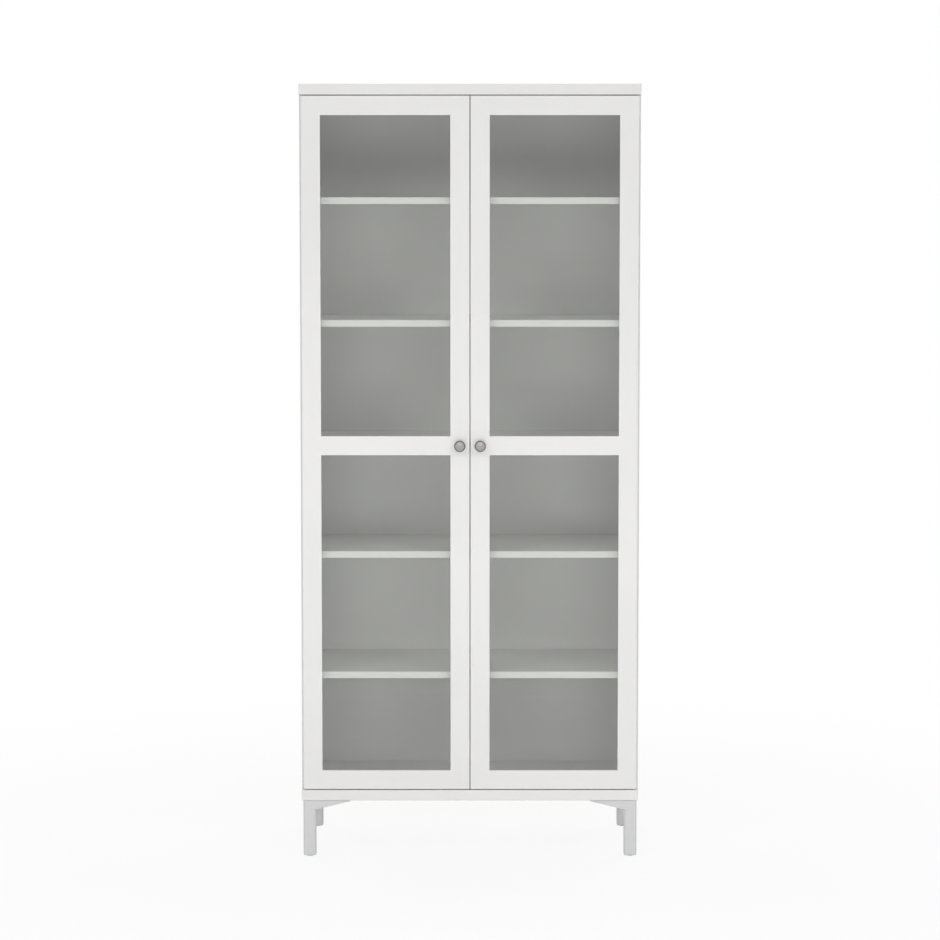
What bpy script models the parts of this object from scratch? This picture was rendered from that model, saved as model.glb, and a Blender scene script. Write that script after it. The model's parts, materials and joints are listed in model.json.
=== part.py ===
"""Tall display cabinet with two framed glass doors, on four metal legs.

Metres, +Z up. The front faces -Y. The origin is on the floor, in the middle of the
width, and midway between the faces of the knobs and the back edges of the boards.
Door and hinge outlines use u, inward from a door's outer edge, and v, backward from
its rear face.
"""
import math

import bmesh
import bpy
from mathutils import Matrix, Vector

# Overall size
WIDTH = 0.800
DEPTH = 0.400
HEIGHT = 1.828

# Boards, sheets and the play between pieces
BOARD = 0.025
PANEL = 0.016
BACK_SHEET = 0.003
BACK_RECESS = 0.010
GROOVE_DEPTH = 0.008
GROOVE_PLAY = 0.0005
EDGE_ROUND = 0.0008
FIT = 0.0003

# Shelves and the pins that carry them
FIXED_SHELF_ABOVE_RAIL = 0.007
FIRST_LOWER_DROP = 0.2595
SHELF_PITCH_STEPS = 9
SHELF_SETBACK = 0.004
SHELF_END_GAP = 0.0015
SHELF_BACK_GAP = 0.001
PIN_RADIUS = 0.0025
PIN_IN_PANEL = 0.008
PIN_UNDER_SHELF = 0.008
PIN_COLLAR = 0.0008
PIN_COLLAR_RADIUS = 0.0036
PIN_HOLE_SPARE = 0.001
PIN_STEP = 0.032
PIN_HOLES_EACH_WAY = 1
PIN_LINE = 0.037

# Doors
DOOR = 0.018
DOOR_GAP = 0.0025
SIDE_REVEAL = 0.0045
STILE = 0.045
RAIL = 0.045
DOOR_BACK_ROUND = 0.003
GLASS = 0.004
GLASS_LIP = 0.008
GLASS_BEHIND_FRONT = 0.010
GLASS_PLAY = 0.001

# Knobs
KNOB_REACH = 0.024
KNOB_FROM_EDGE = 0.0228
KNOB_FOOT = 0.0015
KNOB_FOOT_RADIUS = 0.0075
KNOB_NECK_START = 0.0068
KNOB_NECK_END = 0.012
KNOB_NECK_RADIUS = 0.0048
KNOB_HEAD = 0.009
KNOB_HEAD_RADIUS = 0.0132
KNOB_UNDERCUT = 0.0027
KNOB_UNDERCUT_RADIUS = 0.0106
KNOB_DOME = 0.0022
KNOB_SHOULDER = 0.0011
KNOB_SHOULDER_RADIUS = 0.0119
KNOB_CROWN_RADIUS = 0.0066

# Cup hinges, one pin each
HINGE_FROM_END = 0.100
HINGE_ABOVE_SHELF = 0.040
SWING_CLEARANCE = 0.0004
PIN_FROM_CUP_EDGE = 0.004
CUP_RADIUS = 0.013
CUP_WALL = 0.001
CUP_UNDER_ARM = 0.0011
CUP_EDGE = 0.004
CUP_FLANGE = 0.0008
CUP_FLANGE_OVERLAP = 0.0006
CUP_FLANGE_HALF = 0.021
CUP_LUG = 0.0012
CUP_LUG_RADIUS = 0.0026
HINGE_PIN_RADIUS = 0.00125
HINGE_PIN_LENGTH = 0.0124
ARM_WIDTH = 0.008
ARM_KNUCKLE_RADIUS = 0.0021
ARM_FOREARM = 0.0027
ARM_NECK = 0.0025
ARM_LENGTH = 0.058
ARM_TAIL = 0.005
PLATE = 0.002
PLATE_LENGTH = 0.050
PLATE_HALF_WIDTH = 0.0075
PLATE_FRONT = 0.006
WING_LENGTH = 0.016
WING_HALF_WIDTH = 0.022

# Legs
LEG_HEIGHT = 0.135
LEG = 0.030
LEG_CORNER = 0.0055
LEG_TOE = 0.004
LEG_WALL = 0.002
LEG_SIDE_INSET = 0.0033
LEG_FRONT_INSET = 0.003
LEG_BACK_INSET = 0.015
LEG_PLATE = 0.004
LEG_PLATE_INSET = 0.0015
LEG_PLATE_TIP = 0.018
WEB = 0.003
WEB_SINK = 0.0002
WEB_REACH = 0.081
WEB_DROP = 0.022
WEB_TIP = 0.0045
SCREW_HOLE_RADIUS = 0.0022
SCREW_FROM_TIP = 0.010
PAD = 0.0015
PAD_RADIUS = 0.010

# Facets
ARC_STEPS = 5
ROUND_STEPS = 24
SMALL_ROUND_STEPS = 12

# Hinge pin, seen from a door's outer edge and rear face
PIN_AXIS_IN = CUP_EDGE + PIN_FROM_CUP_EDGE
PIN_AXIS_DEEP = DOOR / 2
CUP_MIDDLE = CUP_EDGE + CUP_RADIUS
CUP_DEPTH = PIN_AXIS_DEEP + ARM_KNUCKLE_RADIUS + CUP_UNDER_ARM + CUP_WALL
FLANGE_FACE = FIT + CUP_FLANGE
FLANGE_HALF_WIDTH = CUP_RADIUS + CUP_FLANGE_OVERLAP

# What swings about the pin when a door opens, and what has to stay clear of it
FLANGE_SWING = math.hypot(PIN_AXIS_IN - CUP_MIDDLE + FLANGE_HALF_WIDTH, PIN_AXIS_DEEP + FLANGE_FACE)
CORNER_SWING = DOOR_BACK_ROUND + math.hypot(
    PIN_AXIS_IN - DOOR_BACK_ROUND, PIN_AXIS_DEEP - DOOR_BACK_ROUND
)
BEHIND_DOOR = max(FLANGE_SWING, CORNER_SWING) - PIN_AXIS_DEEP + SWING_CLEARANCE
ARM_NECK_IN = PIN_AXIS_IN + FLANGE_SWING + SWING_CLEARANCE

# Places worked out from the sizes
FRONT = (KNOB_REACH - DEPTH) / 2
BACK = FRONT + DEPTH
BASE_BOTTOM = LEG_HEIGHT
BASE_TOP = BASE_BOTTOM + BOARD
CEILING = HEIGHT - BOARD
DOOR_REAR = FRONT + DOOR
PANEL_FRONT = DOOR_REAR + BEHIND_DOOR
PANEL_INNER = WIDTH / 2 - PANEL
SHEET_REAR = BACK - BACK_RECESS
SHEET_FRONT = SHEET_REAR - BACK_SHEET
SHELF_FRONT = PANEL_FRONT + SHELF_SETBACK
DOOR_OUTER = WIDTH / 2 - SIDE_REVEAL
DOOR_INNER = DOOR_GAP / 2
DOOR_WIDTH = DOOR_OUTER - DOOR_INNER
DOOR_BOTTOM = BASE_TOP + DOOR_GAP
DOOR_TOP = CEILING - DOOR_GAP
PANEL_IN = DOOR_OUTER - PANEL_INNER
MID_RAIL_MIDDLE = (DOOR_BOTTOM + DOOR_TOP) / 2
FIXED_SHELF_TOP = MID_RAIL_MIDDLE + FIXED_SHELF_ABOVE_RAIL
SHELF_PITCH = SHELF_PITCH_STEPS * PIN_STEP

SIDES = {"left": -1, "right": 1}
ENDS = {"front": -1, "back": 1}


def clear_scene():
    """Remove everything that the file holds."""
    for thing in list(bpy.data.objects):
        bpy.data.objects.remove(thing, do_unlink=True)
    for mesh in list(bpy.data.meshes):
        bpy.data.meshes.remove(mesh)


def material(name, colour, roughness, metallic=0.0, transmission=0.0):
    """Make a plain finish."""
    made = bpy.data.materials.new(name)
    made.use_nodes = True
    shader = made.node_tree.nodes["Principled BSDF"]
    shader.inputs["Base Color"].default_value = (*colour, 1.0)
    shader.inputs["Roughness"].default_value = roughness
    shader.inputs["Metallic"].default_value = metallic
    shader.inputs["Transmission Weight"].default_value = transmission
    made.diffuse_color = (*colour, 1.0)
    return made


def place(name, mesh, finish, smooth=False):
    """Put a mesh in the scene as one named piece."""
    mesh.name = name
    if smooth:
        mesh.shade_smooth()
        mesh.set_sharp_from_angle(angle=math.radians(35))
    mesh.materials.append(finish)
    piece = bpy.data.objects.new(name, mesh)
    bpy.context.scene.collection.objects.link(piece)
    return piece


def hide(piece):
    """Keep a cutter or a joined shape out of the model."""
    piece.hide_render = True
    piece.display_type = "WIRE"
    return piece


def combine(piece, other, operation):
    """Cut a hidden shape out of a piece, or join it on."""
    modifier = piece.modifiers.new(other.name, "BOOLEAN")
    modifier.operation = operation
    modifier.solver = "EXACT"
    modifier.object = hide(other)


def soften(piece, width=EDGE_ROUND):
    """Break a piece's sharp edges."""
    modifier = piece.modifiers.new("edges", "BEVEL")
    modifier.width = width
    modifier.segments = 1
    modifier.limit_method = "ANGLE"
    modifier.angle_limit = math.radians(40)


def loft(*bodies):
    """Join each body's rings of equal count into a closed shape with flat ends."""
    shape = bmesh.new()
    for rings in bodies:
        loops = [[shape.verts.new(point) for point in ring] for ring in rings]
        count = len(loops[0])
        for lower, upper in zip(loops, loops[1:]):
            for i in range(count):
                j = (i + 1) % count
                shape.faces.new((lower[i], lower[j], upper[j], upper[i]))
        shape.faces.new(loops[0])
        shape.faces.new(loops[-1])
    bmesh.ops.recalc_face_normals(shape, faces=shape.faces)
    mesh = bpy.data.meshes.new("shape")
    shape.to_mesh(mesh)
    shape.free()
    return mesh


def block(name, low, high, finish):
    """Make a rectangular piece from its two far corners, standing at its middle."""
    low, high = Vector(low), Vector(high)
    shape = bmesh.new()
    bmesh.ops.create_cube(shape, size=1.0)
    bmesh.ops.scale(shape, vec=high - low, verts=shape.verts)
    mesh = bpy.data.meshes.new(name)
    shape.to_mesh(mesh)
    shape.free()
    piece = place(name, mesh, finish)
    piece.location = (low + high) / 2
    return piece


def upright(name, outline, bottom, top, finish):
    """Stand an outline in the floor plane up between two heights."""
    rings = [[(x, y, z) for x, y in outline] for z in (bottom, top)]
    return place(name, loft(rings), finish)


def turned_rings(profile, axis, steps):
    """Rings of a profile of (radius, distance along the axis), turned about an axis."""
    turn = Vector((0, 0, 1)).rotation_difference(Vector(axis)).to_matrix()
    angles = [math.tau * i / steps for i in range(steps)]
    rings = []
    for radius, along in profile:
        ring = [Vector((radius * math.cos(a), radius * math.sin(a), along)) for a in angles]
        rings.append([turn @ point for point in ring])
    return rings


def turned(name, profile, middle, axis, finish, steps=ROUND_STEPS):
    """A round piece, turned about an axis through its middle."""
    piece = place(name, loft(turned_rings(profile, axis, steps)), finish, smooth=True)
    piece.location = middle
    return piece


def arc(middle, radius, start, end, steps=ARC_STEPS):
    """Points on an arc between two angles in degrees."""
    points = []
    for i in range(steps + 1):
        angle = math.radians(start + (end - start) * i / steps)
        points.append((middle[0] + radius * math.cos(angle), middle[1] + radius * math.sin(angle)))
    return points


def door_point(side, point):
    """Turn (u, v) beside a door into (x, y)."""
    return SIDES[side] * (DOOR_OUTER - point[0]), DOOR_REAR + point[1]


def door_outline(side, points):
    """Turn an outline in (u, v) into one in (x, y)."""
    return [door_point(side, point) for point in points]


def ride(piece, axis):
    """Hang a piece on an empty without moving it."""
    piece.parent = axis
    piece.matrix_parent_inverse = Matrix.Translation(-axis.location)


def groove(board, name, low, high):
    """Cut the back sheet's groove into a board."""
    combine(board, block(name, low, high, WHITE), "DIFFERENCE")


def make_boards():
    """Top and base board, side panels and back sheet."""
    slot_front = SHEET_FRONT - FIT
    slot_rear = SHEET_REAR + FIT
    slot_half = PANEL_INNER + GROOVE_DEPTH
    for name, bottom, cut_from in (
        ("top_board", CEILING, CEILING - BOARD),
        ("base_board", BASE_BOTTOM, BASE_TOP - GROOVE_DEPTH),
    ):
        half = WIDTH / 2
        board = block(name, (-half, FRONT, bottom), (half, BACK, bottom + BOARD), WHITE)
        soften(board)
        cut_to = cut_from + BOARD + GROOVE_DEPTH
        groove(
            board,
            name + "_groove",
            (-slot_half, slot_front, cut_from),
            (slot_half, slot_rear, cut_to),
        )
    for side, sign in SIDES.items():
        outer = sign * WIDTH / 2
        inner = sign * PANEL_INNER
        panel = block(
            "side_panel_" + side,
            (min(outer, inner), PANEL_FRONT, BASE_TOP + FIT),
            (max(outer, inner), BACK, CEILING - FIT),
            WHITE,
        )
        soften(panel)
        bottom_of_slot = sign * slot_half
        mouth = sign * (PANEL_INNER - PANEL)
        groove(
            panel,
            side + "_groove",
            (min(bottom_of_slot, mouth), slot_front, BASE_TOP - BOARD),
            (max(bottom_of_slot, mouth), slot_rear, CEILING + BOARD),
        )
        bore_pin_holes(panel, side)
    sheet_half = slot_half - GROOVE_PLAY
    sheet_up = GROOVE_DEPTH - GROOVE_PLAY
    block(
        "back_panel",
        (-sheet_half, SHEET_FRONT, BASE_TOP - sheet_up),
        (sheet_half, SHEET_REAR, CEILING + sheet_up),
        SHEET,
    )


def shelf_tops():
    """Heights of the shelves that stand on pins, from the top down."""
    return {
        "1": FIXED_SHELF_TOP + 2 * SHELF_PITCH,
        "2": FIXED_SHELF_TOP + SHELF_PITCH,
        "3": FIXED_SHELF_TOP - FIRST_LOWER_DROP,
        "4": FIXED_SHELF_TOP - FIRST_LOWER_DROP - SHELF_PITCH,
    }


def pin_height(top):
    """Height of the pins' axes under a shelf."""
    return top - PANEL - FIT - PIN_RADIUS


def pin_lines():
    """Where the two lines of pins stand, front and back."""
    return {"front": PANEL_FRONT + PIN_LINE, "back": SHEET_FRONT - PIN_LINE}


def bore_pin_holes(panel, side):
    """Bore the rows of pin holes, a few about each shelf's place, with one gang of drills."""
    sign = SIDES[side]
    radius = PIN_RADIUS + FIT
    profile = [(radius, -PIN_UNDER_SHELF), (radius, PIN_IN_PANEL + PIN_HOLE_SPARE)]
    drill = turned_rings(profile, (sign, 0, 0), SMALL_ROUND_STEPS)
    drills = []
    for top in shelf_tops().values():
        for line in pin_lines().values():
            for k in range(-PIN_HOLES_EACH_WAY, PIN_HOLES_EACH_WAY + 1):
                spot = Vector((sign * PANEL_INNER, line, pin_height(top) + k * PIN_STEP))
                drills.append([[point + spot for point in ring] for ring in drill])
    combine(panel, place(f"pin_holes_{side}", loft(*drills), WHITE), "DIFFERENCE")


def make_shelves():
    """The fixed middle shelf and four loose shelves on pins."""
    rear = SHEET_FRONT - SHELF_BACK_GAP
    half = PANEL_INNER - FIT
    fixed = block(
        "fixed_shelf",
        (-half, SHELF_FRONT, FIXED_SHELF_TOP - PANEL),
        (half, SHEET_FRONT - FIT, FIXED_SHELF_TOP),
        WHITE,
    )
    soften(fixed)
    half = PANEL_INNER - SHELF_END_GAP
    collar_end = -FIT - PIN_COLLAR
    profile = [
        (PIN_RADIUS, PIN_IN_PANEL),
        (PIN_RADIUS, -FIT),
        (PIN_COLLAR_RADIUS, -FIT),
        (PIN_COLLAR_RADIUS, collar_end),
        (PIN_RADIUS, collar_end),
        (PIN_RADIUS, -PIN_UNDER_SHELF),
    ]
    for shelf, top in shelf_tops().items():
        board = block(
            "shelf_" + shelf,
            (-half, SHELF_FRONT, top - PANEL),
            (half, rear, top),
            WHITE,
        )
        soften(board)
        for side, sign in SIDES.items():
            for end, line in pin_lines().items():
                turned(
                    f"shelf_{shelf}_pin_{end}_{side}",
                    profile,
                    (sign * PANEL_INNER, line, pin_height(top)),
                    (sign, 0, 0),
                    STEEL,
                    SMALL_ROUND_STEPS,
                )


def rounded_square(half, radius):
    """A square outline with round corners, about the origin."""
    points = []
    flat = half - radius
    for x, y, start in ((1, 1, 0), (-1, 1, 90), (-1, -1, 180), (1, -1, 270)):
        points += arc((x * flat, y * flat), radius, start, start + 90)
    return points


def leg_body_rings():
    """The leg from its rounded toe to just under its plate's top."""
    half = LEG / 2
    bottom = PAD + FIT
    rings = []
    for i in range(ARC_STEPS):
        angle = math.radians(90 * i / (ARC_STEPS - 1))
        inset = LEG_TOE * (1 - math.sin(angle))
        height = bottom + LEG_TOE * (1 - math.cos(angle))
        rings.append((half - inset, LEG_CORNER - inset, height))
    rings.append((half, LEG_CORNER, LEG_HEIGHT - FIT - LEG_PLATE / 2))
    return rings


def leg_frame(x_sign, y_sign):
    """Middle of a leg in the floor plane."""
    x = WIDTH / 2 - LEG_SIDE_INSET - LEG / 2
    if y_sign < 0:
        y = FRONT + LEG_FRONT_INSET + LEG / 2
    else:
        y = BACK - LEG_BACK_INSET - LEG / 2
    return x_sign * x, y


def make_leg(side, end):
    """A pressed leg with a web and a plate along both edges, on a pad."""
    name = f"leg_{end}_{side}"
    x_sign, y_sign = SIDES[side], ENDS[end]
    middle_x, middle_y = leg_frame(x_sign, y_sign)
    top = LEG_HEIGHT - FIT

    def world(inward, other):
        """A point that lies inward from the leg's middle along both edges."""
        return middle_x - x_sign * inward, middle_y - y_sign * other

    def ring(half, radius, height):
        """A round-cornered ring about the leg's middle."""
        outline = rounded_square(half, radius)
        return [(middle_x + x, middle_y + y, height) for x, y in outline]

    leg = place(name, loft([ring(*level) for level in leg_body_rings()]), LEG_METAL, smooth=True)
    half = LEG / 2
    web_outer = -half + WEB_SINK
    web_top = top - LEG_PLATE / 2
    reach = half + WEB_REACH
    profile = [(0, web_top), (reach, web_top), (reach, top - WEB_TIP), (half, top - WEB_DROP)]
    profile.append((0, top - WEB_DROP))
    for along in ("x", "y"):
        rings = []
        for across in (web_outer, web_outer + WEB):
            if along == "x":
                rings.append([(*world(inward, across), z) for inward, z in profile])
            else:
                rings.append([(*world(across, inward), z) for inward, z in profile])
        combine(leg, place(f"{name}_web_{along}", loft(rings), LEG_METAL), "UNION")
    edge = -half + LEG_PLATE_INSET
    wide = half - LEG_PLATE_INSET
    tip = edge + LEG_PLATE_TIP
    outline = [(edge, edge), (reach, edge), (reach, tip), (wide, wide), (tip, reach), (edge, reach)]
    plate = upright(
        name + "_plate",
        [world(*point) for point in outline],
        top - LEG_PLATE,
        top,
        LEG_METAL,
    )
    combine(leg, plate, "UNION")
    hollow_levels = (PAD + FIT + LEG_TOE, LEG_HEIGHT + LEG_PLATE)
    hollow = [ring(half - LEG_WALL, LEG_CORNER - LEG_WALL, height) for height in hollow_levels]
    combine(leg, place(name + "_hollow", loft(hollow), LEG_METAL), "DIFFERENCE")
    screw_line = (edge + tip + WEB) / 2
    screw_far = reach - SCREW_FROM_TIP
    drill = [(SCREW_HOLE_RADIUS, -LEG_PLATE), (SCREW_HOLE_RADIUS, LEG_PLATE)]
    for number, spot in enumerate(((screw_far, screw_line), (screw_line, screw_far))):
        hole = turned(
            f"{name}_screw_{number}",
            drill,
            (*world(*spot), top - LEG_PLATE / 2),
            (0, 0, 1),
            LEG_METAL,
            SMALL_ROUND_STEPS,
        )
        combine(leg, hole, "DIFFERENCE")
    turned(
        f"foot_pad_{end}_{side}",
        [(PAD_RADIUS, 0), (PAD_RADIUS, PAD)],
        (middle_x, middle_y, 0),
        (0, 0, 1),
        PLASTIC,
    )


def pane_heights():
    """The two openings of a door, bottom and top of each."""
    lower_top = MID_RAIL_MIDDLE - RAIL / 2
    upper_bottom = MID_RAIL_MIDDLE + RAIL / 2
    return {
        "lower": (DOOR_BOTTOM + RAIL, lower_top),
        "upper": (upper_bottom, DOOR_TOP - RAIL),
    }


def hinge_heights():
    """Heights of a door's three hinges."""
    return {
        "bottom": DOOR_BOTTOM + HINGE_FROM_END,
        "middle": FIXED_SHELF_TOP + HINGE_ABOVE_SHELF,
        "top": DOOR_TOP - HINGE_FROM_END,
    }


def door_block(name, side, across, deep, heights, finish):
    """A block beside a door, from its extent in u, in v and in height."""
    near = door_point(side, (across[0], deep[0]))
    far = door_point(side, (across[1], deep[1]))
    low = (min(near[0], far[0]), near[1], heights[0])
    high = (max(near[0], far[0]), far[1], heights[1])
    return block(name, low, high, finish)


def make_door(side):
    """A door frame in one piece with its two panes, three hinge cups and knob."""
    axis = bpy.data.objects.new(f"door_axis_{side}", None)
    axis.location = (*door_point(side, (PIN_AXIS_IN, -PIN_AXIS_DEEP)), 0)
    bpy.context.scene.collection.objects.link(axis)
    curve = DOOR_BACK_ROUND
    outline = [(0, -DOOR), (DOOR_WIDTH, -DOOR), (DOOR_WIDTH, 0)]
    outline += arc((curve, -curve), curve, 90, 180)
    frame = upright(
        "door_frame_" + side,
        door_outline(side, outline),
        DOOR_BOTTOM,
        DOOR_TOP,
        WHITE,
    )
    soften(frame)
    ride(frame, axis)
    open_from, open_to = STILE, DOOR_WIDTH - STILE
    seat = GLASS_BEHIND_FRONT - DOOR
    for level, (bottom, top) in pane_heights().items():
        across = (open_from, open_to)
        hole = door_block(
            f"{level}_opening_{side}", side, across, (-2 * DOOR, DOOR), (bottom, top), WHITE
        )
        combine(frame, hole, "DIFFERENCE")
        across = (open_from - GLASS_LIP, open_to + GLASS_LIP)
        heights = (bottom - GLASS_LIP, top + GLASS_LIP)
        rebate = door_block(f"{level}_rebate_{side}", side, across, (seat, DOOR), heights, WHITE)
        combine(frame, rebate, "DIFFERENCE")
        across = (across[0] + GLASS_PLAY, across[1] - GLASS_PLAY)
        heights = (heights[0] + FIT, heights[1] - 2 * GLASS_PLAY)
        deep = (seat + FIT, seat + FIT + GLASS)
        pane = door_block(f"glass_{level}_{side}", side, across, deep, heights, CLEAR_GLASS)
        ride(pane, axis)
    for level, height in hinge_heights().items():
        bore = turned(
            f"{level}_bore_{side}",
            [(CUP_RADIUS + FIT, -CUP_DEPTH - FIT), (CUP_RADIUS + FIT, DOOR)],
            (*door_point(side, (CUP_MIDDLE, 0)), height),
            (0, 1, 0),
            WHITE,
        )
        combine(frame, bore, "DIFFERENCE")
        ride(make_cup(side, level, height), axis)
        make_arm(side, level, height)
        make_plate(side, level, height)
    ride(make_knob(side), axis)


def make_cup(side, level, height):
    """A hinge cup: a round pan with a flange, and two lugs left in it for the pin."""
    name = f"hinge_cup_{level}_{side}"
    middle = (*door_point(side, (CUP_MIDDLE, 0)), height)
    rim = FLANGE_FACE - CUP_FLANGE / 2
    cup = turned(name, [(CUP_RADIUS, -CUP_DEPTH), (CUP_RADIUS, rim)], middle, (0, 1, 0), STEEL)
    flange = door_block(
        name + "_flange",
        side,
        (CUP_MIDDLE - FLANGE_HALF_WIDTH, CUP_MIDDLE + FLANGE_HALF_WIDTH),
        (FIT, FLANGE_FACE),
        (height - CUP_FLANGE_HALF, height + CUP_FLANGE_HALF),
        STEEL,
    )
    combine(cup, flange, "UNION")
    inner = CUP_RADIUS - CUP_WALL
    floor = CUP_WALL - CUP_DEPTH
    pan = turned(name + "_pan", [(inner, floor), (inner, DOOR)], middle, (0, 1, 0), STEEL)
    outline = arc((PIN_AXIS_IN, -PIN_AXIS_DEEP), CUP_LUG_RADIUS, 0, 90)
    outline += [(0, CUP_LUG_RADIUS - PIN_AXIS_DEEP), (0, -DOOR)]
    outline.append((PIN_AXIS_IN + CUP_LUG_RADIUS, -DOOR))
    lug_near = ARM_WIDTH / 2 + FIT
    for number, sign in enumerate((-1, 1)):
        ends = (height + sign * lug_near, height + sign * (lug_near + CUP_LUG))
        lug = upright(
            f"{name}_lug_{number}", door_outline(side, outline), min(ends), max(ends), STEEL
        )
        combine(pan, lug, "DIFFERENCE")
    combine(cup, pan, "DIFFERENCE")
    radius = HINGE_PIN_RADIUS + FIT
    bore = turned(
        name + "_pin_bore",
        [(radius, -HINGE_PIN_LENGTH / 2 - FIT), (radius, HINGE_PIN_LENGTH / 2 + FIT)],
        (*door_point(side, (PIN_AXIS_IN, -PIN_AXIS_DEEP)), height),
        (0, 0, 1),
        STEEL,
        SMALL_ROUND_STEPS,
    )
    combine(cup, bore, "DIFFERENCE")
    return cup


def make_arm(side, level, height):
    """A hinge arm that hooks into the cup, with the pin riveted in its knuckle."""
    name = f"hinge_arm_{level}_{side}"
    knuckle = ARM_KNUCKLE_RADIUS
    low = -PIN_AXIS_DEEP - knuckle
    neck_inner = ARM_NECK_IN + ARM_NECK
    seat = PANEL_IN + FIT + PLATE + FIT
    tail = PLATE_FRONT + ARM_LENGTH
    outline = arc((PIN_AXIS_IN, -PIN_AXIS_DEEP), knuckle, 270, 90)
    outline += [
        (PIN_AXIS_IN + knuckle / 2, knuckle - PIN_AXIS_DEEP),
        (PIN_AXIS_IN + knuckle + ARM_FOREARM / 2, low + ARM_FOREARM),
        (ARM_NECK_IN, low + ARM_FOREARM),
        (ARM_NECK_IN, BEHIND_DOOR),
        (seat, PLATE_FRONT),
        (seat, tail),
        (seat + ARM_TAIL, tail),
        (neck_inner, PLATE_FRONT + PLATE_LENGTH / 2),
        (neck_inner, low + ARM_FOREARM / 2),
        (neck_inner - ARM_FOREARM / 2, low),
    ]
    half = ARM_WIDTH / 2
    arm = upright(name, door_outline(side, outline), height - half, height + half, STEEL)
    pin = turned(
        name + "_pin",
        [(HINGE_PIN_RADIUS, -HINGE_PIN_LENGTH / 2), (HINGE_PIN_RADIUS, HINGE_PIN_LENGTH / 2)],
        (*door_point(side, (PIN_AXIS_IN, -PIN_AXIS_DEEP)), height),
        (0, 0, 1),
        STEEL,
        SMALL_ROUND_STEPS,
    )
    combine(arm, pin, "UNION")
    return arm


def make_plate(side, level, height):
    """The winged plate that holds an arm on the side panel."""
    half, wing = PLATE_HALF_WIDTH, WING_HALF_WIDTH
    start, end = PLATE_FRONT, PLATE_FRONT + PLATE_LENGTH
    wing_middle = BEHIND_DOOR + PIN_LINE
    wing_start, wing_end = wing_middle - WING_LENGTH / 2, wing_middle + WING_LENGTH / 2
    corners = [(start, half), (wing_start, half), (wing_start, wing), (wing_end, wing)]
    corners += [(wing_end, half), (end, half)]
    corners += [(along, -up) for along, up in reversed(corners)]
    rings = []
    for inward in (PANEL_IN + FIT, PANEL_IN + FIT + PLATE):
        spots = [(door_point(side, (inward, along)), height + up) for along, up in corners]
        rings.append([(x, y, z) for (x, y), z in spots])
    return place(f"hinge_plate_{level}_{side}", loft(rings), STEEL)


def make_knob(side):
    """A turned knob with a shallow dome, on a slim neck and a spread foot."""
    head_back = KNOB_REACH - KNOB_HEAD
    profile = [
        (KNOB_FOOT_RADIUS, FIT),
        (KNOB_FOOT_RADIUS, FIT + KNOB_FOOT),
        (KNOB_NECK_RADIUS, KNOB_NECK_START),
        (KNOB_NECK_RADIUS, KNOB_NECK_END),
        (KNOB_UNDERCUT_RADIUS, head_back),
        (KNOB_HEAD_RADIUS, head_back + KNOB_UNDERCUT),
        (KNOB_HEAD_RADIUS, KNOB_REACH - KNOB_DOME),
        (KNOB_SHOULDER_RADIUS, KNOB_REACH - KNOB_SHOULDER),
        (KNOB_CROWN_RADIUS, KNOB_REACH),
    ]
    x = SIDES[side] * (DOOR_INNER + KNOB_FROM_EDGE)
    return turned("knob_" + side, profile, (x, FRONT, MID_RAIL_MIDDLE), (0, -1, 0), BRUSHED)


clear_scene()
WHITE = material("white_lacquer", (0.80, 0.80, 0.79), 0.45)
SHEET = material("back_sheet_white", (0.74, 0.74, 0.73), 0.6)
CLEAR_GLASS = material("clear_glass", (0.90, 0.92, 0.91), 0.03, transmission=1.0)
LEG_METAL = material("leg_grey_lacquer", (0.62, 0.62, 0.62), 0.4, metallic=0.3)
BRUSHED = material("brushed_nickel", (0.60, 0.59, 0.57), 0.3, metallic=1.0)
STEEL = material("plated_steel", (0.66, 0.66, 0.67), 0.25, metallic=1.0)
PLASTIC = material("pad_plastic", (0.30, 0.30, 0.30), 0.6)

make_boards()
make_shelves()
for side_name in SIDES:
    for end_name in ENDS:
        make_leg(side_name, end_name)
    make_door(side_name)
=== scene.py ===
"""The looks of a tall white display cabinet: two framed glass doors, on grey metal legs.

Metres, +Z up, the front faces -Y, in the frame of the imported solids.
"""
import json
import math

import bmesh
import bpy
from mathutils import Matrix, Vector


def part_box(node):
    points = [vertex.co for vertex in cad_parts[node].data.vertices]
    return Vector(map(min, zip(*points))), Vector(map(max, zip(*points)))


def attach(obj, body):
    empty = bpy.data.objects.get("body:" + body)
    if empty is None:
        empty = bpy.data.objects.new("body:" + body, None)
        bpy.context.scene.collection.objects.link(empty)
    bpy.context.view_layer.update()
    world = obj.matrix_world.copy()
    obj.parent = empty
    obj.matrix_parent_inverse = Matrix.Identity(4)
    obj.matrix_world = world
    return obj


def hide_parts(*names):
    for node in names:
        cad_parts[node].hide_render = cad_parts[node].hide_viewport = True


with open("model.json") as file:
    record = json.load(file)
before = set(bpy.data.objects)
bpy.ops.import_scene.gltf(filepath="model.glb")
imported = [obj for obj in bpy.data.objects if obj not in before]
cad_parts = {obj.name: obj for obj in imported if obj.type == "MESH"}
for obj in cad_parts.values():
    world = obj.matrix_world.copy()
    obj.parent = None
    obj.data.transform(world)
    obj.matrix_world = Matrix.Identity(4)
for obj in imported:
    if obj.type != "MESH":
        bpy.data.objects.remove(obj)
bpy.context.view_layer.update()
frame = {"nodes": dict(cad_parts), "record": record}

SIDES = {"left": -1, "right": 1}
ENDS = {"front": -1, "back": 1}
LEVELS = ("bottom", "middle", "top")
LOOSE_SHELVES = (1, 2, 3, 4)
UP, DOWN = (0, 0, 1), (0, 0, -1)
FORWARD, BACKWARD = (0, -1, 0), (0, 1, 0)

# Camera
CAMERA_DISTANCE = 7.2
CAMERA_HEIGHT = 1.552
CAMERA_TILT = math.radians(4.983)
LENS = 117.45
FARTHEST_SEEN = 200

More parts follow.
